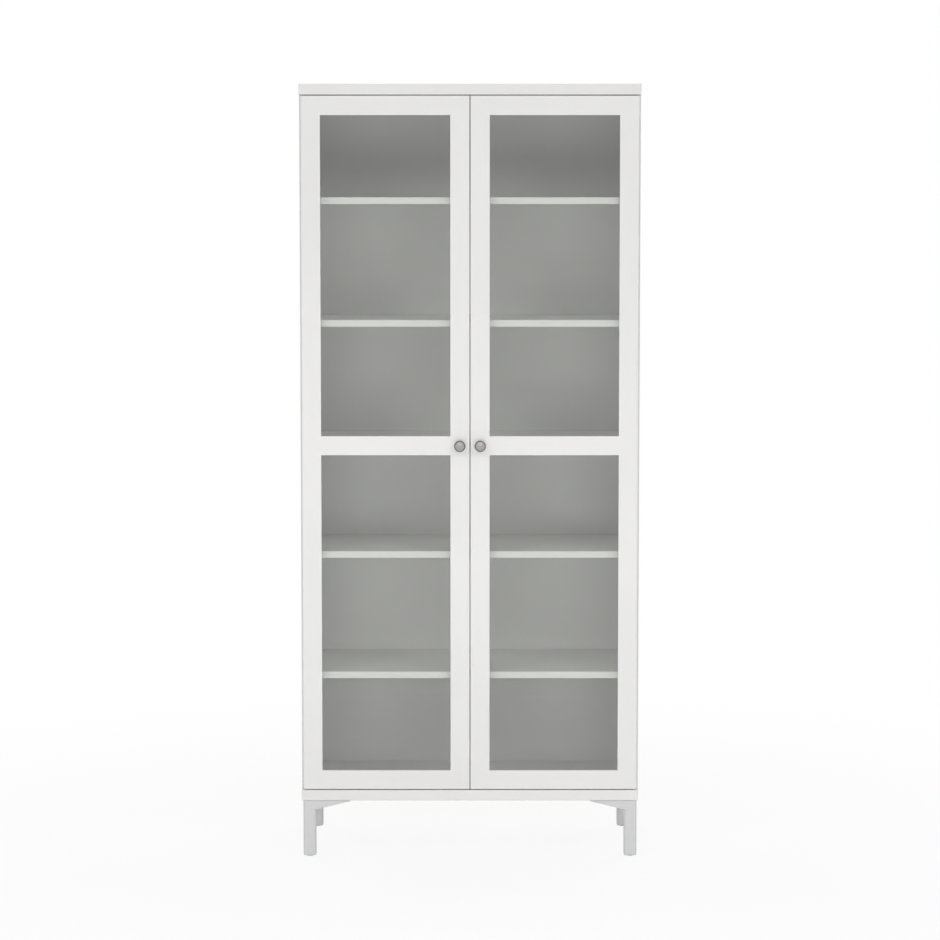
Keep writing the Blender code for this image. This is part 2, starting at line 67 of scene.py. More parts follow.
# Floor and background. The floor's shadow is full near the cabinet and gone farther out
WHITE = (1, 1, 1, 1)
AMBIENT = 0.42
FLOOR_HALF = 40
SHADOW_FULL = 0.6
SHADOW_GONE = 2.6
NEAR_GLOW = 0.88

# Lamps. The side lamps stand on both sides. Only the mirrored ones show in reflections
SIDE_LAMPS = {
    "key": {"place": (3.4, -4.8, 4.2), "aim": (0, 0, 1.0), "size": (2.4, 2.4), "power": 55},
    "rear": {"place": (2.8, 3.6, 2.4), "aim": (0, 0, 0.9), "size": (2.0, 2.4), "power": 60},
}
MIDDLE_LAMPS = {
    "overhead": {"place": (0, 0.5, 4.6), "aim": (0, 0.2, 0.9), "size": (4.0, 2.4), "power": 16},
    "front_high": {"place": (0, -3.6, 3.1), "aim": (0, 0, 1.0), "size": (3.0, 0.4), "power": 12},
    "front_low": {"place": (0, -2.4, 0.6), "aim": (0, 0, 0.6), "size": (2.0, 0.6), "power": 12.5},
}
MIRRORED_LAMPS = ("overhead", "front_high")

# Dark and light tone of each finish
FOIL_TONES = (0.800, 0.797, 0.783), (0.825, 0.822, 0.808)
LACQUER_TONES = (0.806, 0.803, 0.790), (0.830, 0.827, 0.814)
SHEET_TONES = (0.745, 0.745, 0.735), (0.775, 0.775, 0.765)
FIBRE_TONES = (0.255, 0.176, 0.108), (0.400, 0.292, 0.190)
COAT_TONES = (0.650, 0.652, 0.654), (0.710, 0.712, 0.714)
KNOB_FACE_TONES = (0.37, 0.365, 0.355), (0.46, 0.455, 0.445)
# The knob's rim tones are painted shade, darker than the nickel itself
KNOB_RIM_PAINTED_SHADE_TONES = (0.155, 0.153, 0.150), (0.205, 0.203, 0.200)
HINGE_TONES = (0.56, 0.56, 0.565), (0.68, 0.68, 0.685)
PIN_TONES = (0.52, 0.53, 0.545), (0.64, 0.65, 0.665)
PAD_TONES = (0.44, 0.44, 0.44), (0.52, 0.52, 0.52)
BEAD_TONES = (0.74, 0.74, 0.73), (0.79, 0.79, 0.78)
RUBBER_TONES = (0.62, 0.61, 0.58), (0.68, 0.67, 0.64)
FLOOR_TONES = (0.82, 0.82, 0.82), (0.86, 0.86, 0.86)

# Glass, as it is seen and as the lamps shine through it
GLASS_TINT = (0.910, 0.922, 0.908, 1)
GLASS_SHADE = (0.918, 0.923, 0.915, 1)

# Boards, and the play that the solids keep to each other
PANEL = 0.016
FIT = 0.0003

# How near two points are one, and how far faces turn to be one, to be smooth or to be sharp
SAME_POINT = 0.00001
TINY_EDGE = 0.00002
FLAT_TURN = math.radians(0.5)
SMOOTH_TURN = math.radians(35)
SHARP_TURN = math.radians(50)

# Legs
LEG = 0.030
LEG_CORNER = 0.0055
LEG_TOE = 0.0026
LEG_TOE_STEPS = 8
LEG_PLATE = 0.0022
LEG_PLATE_TIP = 0.018
LEG_PLATE_INSET = 0.0015
LEG_SCREW_FROM_TIP = 0.010
WEB = 0.003
WEB_DROP = 0.022
WEB_TIP = 0.0024
WEB_ROLL = 0.0012

# Glide pads
PAD_RIM = 0.0007
PAD_RIM_MIDDLE = 0.0002
PAD_TOP_CHAMFER = 0.0003
PAD_FACETS = 48

# Door frames, glass and its beads
FRAME_ROUNDING = 0.0007
PANE_PLAY = 0.001
BEAD_WIDTH = 0.0074
BEAD_LIP = 0.0012
BEAD_SLOPE = 0.0022
BEAD_PLAY = 0.0002

# Hinges
HINGE_CORNER = 0.0042
PLATE_ROUNDING = 0.0002
ARM_WIDTH = 0.008
ARM_EDGE_REACH = 0.0032
ARM_ROLL = 0.0009
ARM_BEND = math.radians(40)
ARM_SCREWS = (0.027, 0.064)

# Knobs, with their outline as (radius, distance from the door)
KNOB_FOOT = ((0.0, FIT), (0.0072, FIT), (0.0075, 0.0006), (0.0075, 0.0015))
KNOB_NECK = (
    (0.0071, 0.0019),
    (0.0054, 0.0042),
    (0.0047, 0.0078),
    (0.0052, 0.0110),
    (0.0080, 0.0136),
)
KNOB_UNDERSIDE = (0.0108, 0.0147)
KNOB_REAR_ROLL = 0.0016
KNOB_REAR_EDGE = 0.0164
KNOB_FRONT_ROLL = 0.0010
KNOB_FRONT_DROP = 0.0024
KNOB_RING_RADIUS = 0.0111
KNOB_LIP = 0.0002
KNOB_LIP_DROP = 0.0003
KNOB_GROOVE = 0.0006
KNOB_FACE_RADIUS = 0.0106
KNOB_DOME = 0.0028
KNOB_DOME_STEPS = 12
KNOB_FACETS = 96

# Shelf pins. The shares are of the radius, and of the collar's width
PIN_RADIUS = 0.0025
PIN_COLLAR_RADIUS = 0.0036
PIN_COLLAR = 0.0008
PIN_IN_PANEL = 0.008
PIN_REACH = 0.008
PIN_CHAMFER_SHARE = 0.3
PIN_END_SHARE = 0.96
PIN_END_IN_CHAMFERS = 1.5
COLLAR_BEVEL_SHARE = 0.25

# Screws, and the angles that they and the pins are turned by
SMALL_SCREW = {
    "Head Radius": 0.0032,
    "Head Height": 0.0013,
    "Recess Width": 0.0008,
    "Recess Length": 0.0032,
    "Recess Depth": 0.0010,
}
LARGE_SCREW = {
    "Head Radius": 0.0045,
    "Head Height": 0.0022,
    "Recess Width": 0.0011,
    "Recess Length": 0.0046,
    "Recess Depth": 0.0017,
}
WING_SCREW_SPACING = 0.032
FLANGE_SCREW_SPACING = 0.034
FIRST_SPIN, NEXT_SPIN = 0.35, 1.7
PIN_SPIN, LEG_SCREW_SPIN, ARM_SCREW_SPIN = 0.3, 0.4, 0.5

# Caps, stops, wedges and their nails
CAP_RADIUS = 0.0085
CAP_HEIGHT = 0.0009
CAP_INSET = 0.024
CAP_RIM_SHARE = 0.5
CAP_TOP_SHARE = 0.985
CAP_FACETS = 48
STOP_RADIUS = 0.0045
STOP_HEIGHT = 0.0021
STOP_FROM_END = 0.030
WEDGE_HALF = 0.008
WEDGE_HEIGHT = 0.0075
WEDGE_TOP_SHARE = 0.8
WEDGE_HEIGHT_SHARES = (0.2, 0.4, 0.6, 0.8)
NAIL_RADIUS = 0.0016
NAIL_HEIGHT = 0.0007


def add(tree, kind, inputs=None, **settings):
    """Add a node, set its properties, and fill or link its inputs."""
    made = tree.nodes.new(kind)
    for label, value in settings.items():
        setattr(made, label, value)
    for label, value in (inputs or {}).items():
        socket = made.inputs[label]
        if isinstance(value, bpy.types.NodeSocket):
            tree.links.new(value, socket)
        else:
            socket.default_value = value
    return made


def math_of(tree, operation, first, second):
    """One sum of two numbers."""
    return add(tree, "ShaderNodeMath", {0: first, 1: second}, operation=operation).outputs[0]


def length_of(tree, vector):
    """The length of a vector."""
    return add(tree, "ShaderNodeVectorMath", {0: vector}, operation="LENGTH").outputs["Value"]


def place_on_piece(tree):
    """The place in the piece's own coordinates."""
    return add(tree, "ShaderNodeTexCoord").outputs["Object"]


def blank_finish(name, roughness=0.5, metallic=0.0):
    """A material with one shader, and its tree."""
    made = bpy.data.materials.new(name)
    made.use_nodes = True
    shader = made.node_tree.nodes["Principled BSDF"]
    shader.inputs["Roughness"].default_value = roughness
    shader.inputs["Metallic"].default_value = metallic
    return made, made.node_tree, shader


def grain(tree, scale, detail=2.0, stretch=(1.0, 1.0, 1.0)):
    """Noise over the piece, from 0 to 1, drawn out along an axis whose stretch is small."""
    inputs = {"Vector": place_on_piece(tree), "Scale": stretch}
    where = add(tree, "ShaderNodeMapping", inputs).outputs["Vector"]
    inputs = {"Vector": where, "Scale": scale, "Detail": detail}
    return add(tree, "ShaderNodeTexNoise", inputs).outputs[0]


def shades(tree, factor, tones, low=0.35, high=0.65):
    """A colour between a dark and a light tone."""
    ramp = add(tree, "ShaderNodeValToRGB", {0: factor})
    for element, tone, position in zip(ramp.color_ramp.elements, tones, (low, high)):
        element.position = position
        element.color = (*tone, 1)
    return ramp.outputs["Color"]


def between(tree, factor, low, high):
    """A number between two values, from noise about its middle."""
    inputs = {"Value": factor, "From Min": 0.3, "From Max": 0.7, "To Min": low, "To Max": high}
    return add(tree, "ShaderNodeMapRange", inputs).outputs["Result"]


def relief(tree, height, depth, under=None):
    """A bump of a real depth, on top of another."""
    inputs = {"Height": height, "Distance": depth, "Strength": 1.0}
    if under is not None:
        inputs["Normal"] = under
    return add(tree, "ShaderNodeBump", inputs).outputs["Normal"]


def mixed_colour(tree, factor, first, second):
    """A blend of two colours. Sockets 6 and 7 of the node take them, and 2 gives the result."""
    inputs = {0: factor, 6: first, 7: second}
    return add(tree, "ShaderNodeMix", inputs, data_type="RGBA").outputs[2]


def any_ray(tree, first, *others):
    """1 for rays of any of the kinds named, and 0 for the rest."""
    path = add(tree, "ShaderNodeLightPath").outputs
    found = path[first]
    for kind in others:
        found = math_of(tree, "MAXIMUM", found, path[kind])
    return found


def paint(tree, shader, colour, roughness, normal):
    """Link a finish's colour, roughness and relief to its shader."""
    tree.links.new(colour, shader.inputs["Base Color"])
    tree.links.new(roughness, shader.inputs["Roughness"])
    tree.links.new(normal, shader.inputs["Normal"])


def blend(tree, output, share, first, second):
    """Show two shaders, the second by its share."""
    inputs = {0: share, 1: first.outputs[0], 2: second.outputs[0]}
    mixed = add(tree, "ShaderNodeMixShader", inputs)
    tree.links.new(mixed.outputs[0], tree.nodes[output].inputs["Surface"])


def board_foil():
    """White foil on the boards: a satin skin with a faint pore and drift of tone."""
    made, tree, shader = blank_finish("board_foil")
    colour = shades(tree, grain(tree, scale=2.3, detail=3.0), FOIL_TONES)
    roughness = between(tree, grain(tree, scale=34.0), low=0.40, high=0.50)
    soft = relief(tree, grain(tree, scale=240.0), depth=0.00003)
    pore = relief(tree, grain(tree, scale=1500.0, detail=3.0), depth=0.000012, under=soft)
    paint(tree, shader, colour, roughness, pore)
    return made


def door_lacquer():
    """Sprayed satin lacquer on the door frames: orange peel and a slow drift of tone."""
    made, tree, shader = blank_finish("door_lacquer")
    colour = shades(tree, grain(tree, scale=3.1, detail=3.0), LACQUER_TONES)
    roughness = between(tree, grain(tree, scale=22.0), low=0.32, high=0.42)
    peel = relief(tree, grain(tree, scale=420.0, detail=1.0), depth=0.00004)
    dust = relief(tree, grain(tree, scale=2600.0), depth=0.000008, under=peel)
    paint(tree, shader, colour, roughness, dust)
    return made


def sheet_finish(middle):
    """The back sheet: matt white towards the shelves, bare pressed fibre towards the wall."""
    made, tree, shader = blank_finish("back_sheet_faces")
    deep = add(tree, "ShaderNodeSeparateXYZ", {"Vector": place_on_piece(tree)}).outputs["Y"]
    rear = math_of(tree, "GREATER_THAN", deep, middle)
    white = shades(tree, grain(tree, scale=4.0, detail=3.0), SHEET_TONES)
    fibre = grain(tree, scale=620.0, detail=5.0, stretch=(1.0, 1.0, 0.3))
    brown = shades(tree, fibre, FIBRE_TONES, low=0.28, high=0.74)
    colour = mixed_colour(tree, rear, white, brown)
    roughness = between(tree, grain(tree, scale=60.0), low=0.55, high=0.68)
    paint(tree, shader, colour, roughness, relief(tree, fibre, depth=0.00004))
    return made


def clear_glass():
    """Float glass that lets the lamps through, with faint wipe marks."""
    made, tree, shader = blank_finish("clear_glass", 0.02)
    shader.inputs["Base Color"].default_value = GLASS_TINT
    shader.inputs["Transmission Weight"].default_value = 1.0
    shader.inputs["IOR"].default_value = 1.5
    wipe = grain(tree, scale=16.0, detail=4.0, stretch=(1.0, 1.0, 0.4))
    tree.links.new(between(tree, wipe, low=0.0, high=0.016), shader.inputs["Roughness"])
    light = any_ray(tree, "Is Shadow Ray", "Is Diffuse Ray")
    through = add(tree, "ShaderNodeBsdfTransparent", {"Color": GLASS_SHADE})
    blend(tree, "Material Output", light, shader, through)
    return made


def leg_coat():
    """Fine grey powder coat on the legs."""
    made, tree, shader = blank_finish("leg_coat")
    shader.inputs["Specular IOR Level"].default_value = 0.35
    speck = grain(tree, scale=1900.0)
    colour = shades(tree, speck, COAT_TONES)
    roughness = between(tree, grain(tree, scale=90.0), low=0.38, high=0.48)
    paint(tree, shader, colour, roughness, relief(tree, speck, depth=0.00003))
    return made


def turned_nickel(name, middle):
    """Satin nickel turned about an axis along Y: a light face inside a rim darkened with painted
    shade.
    """
    made, tree, shader = blank_finish(name, metallic=1.0)
    inputs = {0: place_on_piece(tree), 1: middle}
    about = add(tree, "ShaderNodeVectorMath", inputs, operation="SUBTRACT").outputs[0]
    inputs = {0: about, 1: (1.0, 0.0, 1.0)}
    flat = add(tree, "ShaderNodeVectorMath", inputs, operation="MULTIPLY").outputs[0]
    radius = length_of(tree, flat)
    inputs = {"W": radius, "Scale": 5200.0, "Detail": 2.0}
    rings = add(tree, "ShaderNodeTexNoise", inputs, noise_dimensions="1D").outputs[0]
    # The rim's dark colour is painted shade, standing in for the shade round the knob's edge
    face, edge = shades(tree, rings, KNOB_FACE_TONES), shades(tree, rings, KNOB_RIM_PAINTED_SHADE_TONES)
    inputs = {"Value": radius, "From Min": KNOB_FACE_RADIUS, "From Max": KNOB_RING_RADIUS}
    rim = add(tree, "ShaderNodeMapRange", inputs).outputs["Result"]
    colour = mixed_colour(tree, rim, face, edge)
    roughness = between(tree, rings, low=0.30, high=0.40)
    paint(tree, shader, colour, roughness, relief(tree, rings, depth=0.00001))
    return made


def plated_steel(name, tones, low, high):
    """Bright plated steel with faint drawn lines and patches, between two roughnesses."""
    made, tree, shader = blank_finish(name, metallic=1.0)
    lines = grain(tree, scale=900.0, detail=3.0, stretch=(1.0, 1.0, 0.15))
    colour = shades(tree, lines, tones)
    roughness = between(tree, grain(tree, scale=140.0), low, high)
    paint(tree, shader, colour, roughness, relief(tree, lines, depth=0.000006))
    return made


def moulded_plastic(name, tones, low, high):
    """Moulded plastic with a fine spark texture, between two roughnesses."""
    made, tree, shader = blank_finish(name)
    spark = grain(tree, scale=1200.0)
    colour = shades(tree, spark, tones)
    roughness = between(tree, grain(tree, scale=80.0), low, high)
    paint(tree, shader, colour, roughness, relief(tree, spark, depth=0.00001))
    return made


def arc(middle, radius, start, end, steps):
    """Points on an arc between two angles in degrees."""
    points = []
    for i in range(steps + 1):
        angle = math.radians(start + (end - start) * i / steps)
        points.append((middle[0] + radius * math.cos(angle), middle[1] + radius * math.sin(angle)))
    return points


def smooth_line(points, steps=8):
    """A smooth curve through points in a plane."""
    ends = [points[0], *points, points[-1]]
    line = []
    for a, b, c, d in zip(ends, ends[1:], ends[2:], ends[3:]):
        for i in range(steps):
            t = i / steps
            spot = []
            for p, q, r, s in zip(a, b, c, d):
                bend = (2 * p - 5 * q + 4 * r - s) * t * t + (3 * q - p - 3 * r + s) * t ** 3
                spot.append(q + 0.5 * ((r - p) * t + bend))
            line.append(tuple(spot))
    line.append(points[-1])
    return line


def rounded_square(half, radius, steps=8):
    """A square outline with round corners, about the origin."""
    points = []
    flat = half - radius
    for x, y, start in ((1, 1, 0), (-1, 1, 90), (-1, -1, 180), (1, -1, 270)):
        points += arc((x * flat, y * flat), radius, start, start + 90, steps)
    return points


def add_turned(shape, profile, middle, axis, facets):
    """Turn a profile of (radius, distance along the axis) into a closed skin."""
    turn = Vector(UP).rotation_difference(Vector(axis)).to_matrix()
    rings = []
    for radius, along in profile:
        count = facets if radius > 0 else 1
        angles = [math.tau * i / count for i in range(count)]
        ring = [Vector((radius * math.cos(a), radius * math.sin(a), along)) for a in angles]
        rings.append([shape.verts.new(Vector(middle) + turn @ point) for point in ring])
    for low, high in zip(rings, rings[1:]):
        for i in range(facets):
            j = i + 1
            corners = (low[i % len(low)], low[j % len(low)], high[j % len(high)], high[i % len(high)])
            shape.faces.new(list(dict.fromkeys(corners)))


def add_loft(shape, rings):
    """Join rings of equal count into one closed skin with flat ends."""
    loops = [[shape.verts.new(point) for point in ring] for ring in rings]
    count = len(loops[0])
    for low, high in zip(loops, loops[1:]):
        for i in range(count):
            j = (i + 1) % count
            shape.faces.new((low[i], low[j], high[j], high[i]))
    shape.faces.new(loops[0])
    shape.faces.new(loops[-1])


def add_moulding(shape, low, high, section):
    """Run a closed section of (inward, y) round a rectangle in (x, z), mitred at the corners."""
    rings = []
    for inward, y in section:
        x0, x1 = low[0] + inward, high[0] - inward
        z0, z1 = low[1] + inward, high[1] - inward
        corners = ((x0, z0), (x1, z0), (x1, z1), (x0, z1))
        rings.append([shape.verts.new((x, y, z)) for x, z in corners])
    for ring, following in zip(rings, rings[1:] + rings[:1]):
        for i in range(4):
            j = (i + 1) % 4
            shape.faces.new((ring[i], ring[j], following[j], following[i]))


def bevelled(shape, edges, width, segments=4):
    """Round chosen edges."""
    bmesh.ops.bevel(
        shape, geom=edges, offset=width, segments=segments, profile=0.5, affect="EDGES"
    )


def soften(shape, width, segments):
    """Round the sharp edges."""
    sharp = [edge for edge in shape.edges if edge.calc_face_angle(0.0) > SHARP_TURN]
    bevelled(shape, sharp, width, segments)


def solid_copy(node):
    """A clean copy of a solid, merged, with its flat faces whole."""
    shape = bmesh.new()
    shape.from_mesh(frame["nodes"][node].data)
    bmesh.ops.remove_doubles(shape, verts=shape.verts, dist=SAME_POINT)
    bmesh.ops.dissolve_limit(
        shape, angle_limit=FLAT_TURN, verts=shape.verts, edges=shape.edges
    )
    return shape


def add_object(name, data):
    """Bring an object into the scene."""
    made = bpy.data.objects.new(name, data)
    bpy.context.scene.collection.objects.link(made)
    return made


def put(name, mesh, body):
    """Show a mesh as one piece that rides on a body."""
    made = add_object(name, mesh)
    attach(made, body)
    return made


def piece_of(name, shape, finish, body, smooth=None):
    """Make a shape a piece, faceted or smooth up to an angle in degrees."""
    bmesh.ops.recalc_face_normals(shape, faces=shape.faces)
    mesh = bpy.data.meshes.new(name)
    shape.to_mesh(mesh)
    shape.free()
    mesh.materials.append(finish)
    if smooth:
        mesh.shade_smooth()
        mesh.set_sharp_from_angle(angle=math.radians(smooth))
    return put(name, mesh, body)


def joined(shapes, name):
    """Weld closed shapes into one skin."""
    made = []
    for shape in shapes:
        bmesh.ops.recalc_face_normals(shape, faces=shape.faces)
        mesh = bpy.data.meshes.new(name)
        shape.to_mesh(mesh)
        shape.free()
        made.append(add_object(name, mesh))
    for other in made[1:]:
        modifier = made[0].modifiers.new("weld", "BOOLEAN")
        modifier.operation = "UNION"
        modifier.object = other
    graph = bpy.context.evaluated_depsgraph_get()
    mesh = bpy.data.meshes.new_from_object(made[0].evaluated_get(graph))
    for thing in made:
        bpy.data.objects.remove(thing)
    whole = bmesh.new()
    whole.from_mesh(mesh)
    bmesh.ops.dissolve_degenerate(whole, dist=TINY_EDGE, edges=whole.edges)
    return whole


def middle_of(node):
    """The middle of a solid's box."""
    low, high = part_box(node)
    return (low + high) / 2


def dress_solids(finishes):
    """Give each solid the finish of its slot."""
    for part in frame["record"]["subparts"]:
        for slot in frame["nodes"][part["node"]].material_slots:
            slot.material = finishes[part["material_slot"]]


def knob_outline(rim, face):
    """The outline from the middle of the foot round the rim and the groove to the dome's top."""
    outline = [*KNOB_FOOT, *smooth_line(KNOB_NECK), KNOB_UNDERSIDE]
    outline += arc((rim - KNOB_REAR_ROLL, KNOB_REAR_EDGE), KNOB_REAR_ROLL, -70, 0, 6)
    edge = face - KNOB_DOME
    outline += arc((rim - KNOB_FRONT_ROLL, edge - KNOB_FRONT_DROP), KNOB_FRONT_ROLL, 0, 45, 5)
    outline.append((KNOB_RING_RADIUS + KNOB_LIP, edge - KNOB_LIP_DROP))
    outline.append((KNOB_RING_RADIUS, edge - KNOB_LIP))
    outline.append(((KNOB_RING_RADIUS + KNOB_FACE_RADIUS) / 2, edge - KNOB_GROOVE))
    curve = (KNOB_FACE_RADIUS ** 2 + KNOB_DOME ** 2) / (2 * KNOB_DOME)
    for i in range(KNOB_DOME_STEPS):
        radius = KNOB_FACE_RADIUS * (1 - i / KNOB_DOME_STEPS)
        outline.append((radius, face - curve + math.sqrt(curve ** 2 - radius ** 2)))
    outline.append((0.0, face))
    return outline


def make_knob(side):
    """A turned knob: spread foot, waisted neck, bevelled rim and a dome inside a fine groove."""
    node = f"knob_{side}"
    low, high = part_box(node)
    middle = middle_of(node)
    outline = knob_outline((high.x - low.x) / 2, high.y - low.y + FIT)
    shape = bmesh.new()
    front = (middle.x, high.y + FIT, middle.z)
    add_turned(shape, outline, front, FORWARD, KNOB_FACETS)
    finish = turned_nickel(f"turned_nickel_{side}", (middle.x, 0.0, middle.z))
    knob = piece_of(f"turned_knob_{side}", shape, finish, f"{side}_door", smooth=24)
    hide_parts(node)


def leg_tube(middle, bottom, top):
    """The square tube, its toe rolled in over the pad."""
    half = LEG / 2
    rings = []
    for i in range(LEG_TOE_STEPS + 1):
        angle = math.pi / 2 * i / LEG_TOE_STEPS
        inset = LEG_TOE * (1 - math.sin(angle))
        height = bottom + LEG_TOE * (1 - math.cos(angle))
        outline = rounded_square(half - inset, LEG_CORNER - inset)
        rings.append([(middle.x + x, middle.y + y, height) for x, y in outline])
    outline = rounded_square(half, LEG_CORNER)
    rings.append([(middle.x + x, middle.y + y, top - LEG_PLATE / 2) for x, y in outline])
    tube = bmesh.new()
    add_loft(tube, rings)
    return tube


def leg_web(rings, top):
    """A tapered web between two outlines, with its long lower edges rolled."""
    web = bmesh.new()
    add_loft(web, rings)
    bmesh.ops.recalc_face_normals(web, faces=web.faces)
    rolled = []
    for edge in web.edges:
        highest = max(vert.co.z for vert in edge.verts)
        if highest < top - WEB_TIP + FIT and edge.calc_length() > WEB + FIT:
            rolled.append(edge)
    bevelled(web, rolled, WEB_ROLL)
    return web


def leg_webs(inward, reach, top):
    """One web along each edge of the base board."""
    half = LEG / 2
    web_top = top - LEG_PLATE / 2
    outline = [(0, web_top), (reach, web_top), (reach, top - WEB_TIP), (half, top - WEB_DROP)]
    outline.append((0, top - WEB_DROP))
    faces = (-half, WEB - half)
    along_x = [[(*inward(far, face), z) for far, z in outline] for face in faces]
    along_y = [[(*inward(face, far), z) for far, z in outline] for face in faces]
    return [leg_web(along_x, top), leg_web(along_y, top)]


def leg_plate(inward, reach, top):
    """The plate under the base board, with a narrow wing over each web."""
    edge = LEG_PLATE_INSET - LEG / 2
    wide = LEG / 2 - LEG_PLATE_INSET
    tip = edge + LEG_PLATE_TIP
    outline = [(edge, edge), (reach, edge), (reach, tip), (wide, wide), (tip, reach), (edge, reach)]
    plate = bmesh.new()
    add_loft(plate, [[(*inward(*spot), z) for spot in outline] for z in (top - LEG_PLATE, top)])
    return plate


def leg_screw_spots(inward, reach, top):
    """A place on each wing of the plate, beside the web."""
    edge = LEG_PLATE_INSET - LEG / 2
    tip = edge + LEG_PLATE_TIP
    line = (edge + tip + WEB) / 2
    far = reach - LEG_SCREW_FROM_TIP
    height = top - LEG_PLATE
    places = [(*inward(far, line), height), (*inward(line, far), height)]
    return [(place, DOWN, LEG_SCREW_SPIN + i) for i, place in enumerate(places)]


def make_leg(side, end, finish):
    """A square leg with a rolled toe, a tapered web along each edge and a plate on top."""
    node = f"leg_{end}_{side}"
    x_sign, y_sign = SIDES[side], ENDS[end]
    low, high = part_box(node)
    middle = middle_of(f"foot_pad_{end}_{side}")
    reach = high.x - low.x - LEG / 2

    def inward(x, y):
        """A place so far inward from the leg's middle, along both edges."""
        return middle.x - x_sign * x, middle.y - y_sign * y

    shapes = [leg_tube(middle, low.z, high.z)]
    shapes += leg_webs(inward, reach, high.z)
    shapes.append(leg_plate(inward, reach, high.z))
    whole = joined(shapes, node)
    leg = piece_of(f"pressed_leg_{end}_{side}", whole, finish, "cabinet", smooth=40)
    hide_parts(node)
    return leg_screw_spots(inward, reach, high.z)


def make_pad(side, end, finish):
    """A round glide pad with a rounded rim, under a leg."""
    node = f"foot_pad_{end}_{side}"
    low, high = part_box(node)
    middle = middle_of(node)
    radius = (high.x - low.x) / 2
    inner = radius - PAD_RIM_MIDDLE
    profile = [(0.0, 0.0), (radius - PAD_RIM, 0.0), (inner, PAD_RIM_MIDDLE), (radius, PAD_RIM)]
    profile.append((radius, high.z - PAD_TOP_CHAMFER))
    profile += [(radius - PAD_TOP_CHAMFER, high.z), (0.0, high.z)]
    shape = bmesh.new()
    add_turned(shape, profile, (middle.x, middle.y, 0.0), UP, PAD_FACETS)
    pad = piece_of(f"glide_pad_{end}_{side}", shape, finish, "cabinet", smooth=30)
    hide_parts(node)


def make_door_frame(side, finish):
    """The door frame with its edges rounded as lacquered fibreboard is."""
    node = f"door_frame_{side}"
    shape = solid_copy(node)
    soften(shape, FRAME_ROUNDING, 3)
    made = piece_of(f"lacquered_frame_{side}", shape, finish, f"{side}_door")
    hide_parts(node)


def make_beads(side, finish):
    """Push-in beads that hold both panes in their rebates."""
    shape = bmesh.new()
    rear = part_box(f"door_frame_{side}")[1].y - BEAD_PLAY
    for level in ("lower", "upper"):
        low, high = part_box(f"glass_{level}_{side}")
        near = high.y + BEAD_PLAY
        section = [(BEAD_PLAY, near), (BEAD_WIDTH, near), (BEAD_WIDTH, near + BEAD_LIP)]
        section += [(BEAD_WIDTH - BEAD_SLOPE, rear), (BEAD_PLAY, rear)]
        # The pane stands on the foot of its rebate, so its play is above it
        foot = (low.x - PANE_PLAY, low.z - FIT)
        head = (high.x + PANE_PLAY, high.z + 2 * PANE_PLAY)
        add_moulding(shape, foot, head, section)
    piece_of(f"glazing_beads_{side}", shape, finish, f"{side}_door")


def flange_corners(shape, low, high):
    """The short edges at the four corners of a cup's flange."""
    middle, half = (low.z + high.z) / 2, (high.z - low.z) / 2
    corners = []
    for edge in shape.edges:
        spots = [vert.co for vert in edge.verts]
        through = abs(spots[0].y - spots[1].y) > FIT
        inside = [
            min(spot.x - low.x, high.x - spot.x, spot.z - low.z, high.z - spot.z)
            for spot in spots
        ]
        farthest = max(abs(spot.z - middle) for spot in spots)
        if through and max(inside) < FIT and farthest > half - FIT:
            corners.append(edge)
    return corners


def make_cup(side, level, finish):
    """A hinge cup whose flange has round corners."""
    node = f"hinge_cup_{level}_{side}"
    shape = solid_copy(node)
    bevelled(shape, flange_corners(shape, *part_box(node)), HINGE_CORNER)
    name = f"pressed_cup_{level}_{side}"
    cup = piece_of(name, shape, finish, f"{side}_door", smooth=30)
    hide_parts(node)


def make_plate(side, level, finish):
    """A winged mounting plate with round corners."""
    node = f"hinge_plate_{level}_{side}"
    low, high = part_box(node)
    shape = solid_copy(node)
    corners = [edge for edge in shape.edges if edge.calc_length() < high.x - low.x + FIT]
    bevelled(shape, corners, HINGE_CORNER / 2)
    soften(shape, PLATE_ROUNDING, 2)
    plate = piece_of(f"pressed_plate_{level}_{side}", shape, finish, "cabinet")
    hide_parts(node)


def make_arm(side, level, finish):
    """A hinge arm with rolled edges along its free face, which is away from the panel."""
    node = f"hinge_arm_{level}_{side}"
    sign = SIDES[side]
    middle = middle_of(node)
    face = min(abs(corner.x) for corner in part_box(node))
    shape = solid_copy(node)
    rolled = []
    for edge in shape.edges:
        on_side = [abs(abs(vert.co.z - middle.z) - ARM_WIDTH / 2) < FIT for vert in edge.verts]
        by_face = [sign * vert.co.x < face + ARM_EDGE_REACH for vert in edge.verts]
        if all(on_side) and all(by_face) and edge.calc_face_angle(0.0) > ARM_BEND:
            rolled.append(edge)
    bevelled(shape, rolled, ARM_ROLL, 3)
    name = f"pressed_arm_{level}_{side}"
    arm = piece_of(name, shape, finish, "cabinet", smooth=30)
    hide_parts(node)


def named(tree, label, kind):
    """An attribute of the points."""
    return add(tree, "GeometryNodeInputNamedAttribute", {"Name": label}, data_type=kind).outputs[0]


def vector_of(tree, x=0.0, y=0.0, z=0.0):
    """A vector from three numbers."""
    return add(tree, "ShaderNodeCombineXYZ", {"X": x, "Y": y, "Z": z}).outputs[0]


def moved(tree, geometry, height):
    """Geometry moved along Z."""
    inputs = {"Geometry": geometry, "Translation": vector_of(tree, z=height)}
    return add(tree, "GeometryNodeTransform", inputs).outputs[0]


def bar(tree, x, y, z):
    """A block about the origin."""
    return add(tree, "GeometryNodeMeshCube", {"Size": vector_of(tree, x, y, z)}).outputs["Mesh"]


def frustum(tree, low, high, depth, facets=32):
    """A cone cut flat, from the origin up."""
    inputs = {"Vertices": facets, "Radius Bottom": low, "Radius Top": high, "Depth": depth}
    return add(tree, "GeometryNodeMeshCone", inputs).outputs["Mesh"]


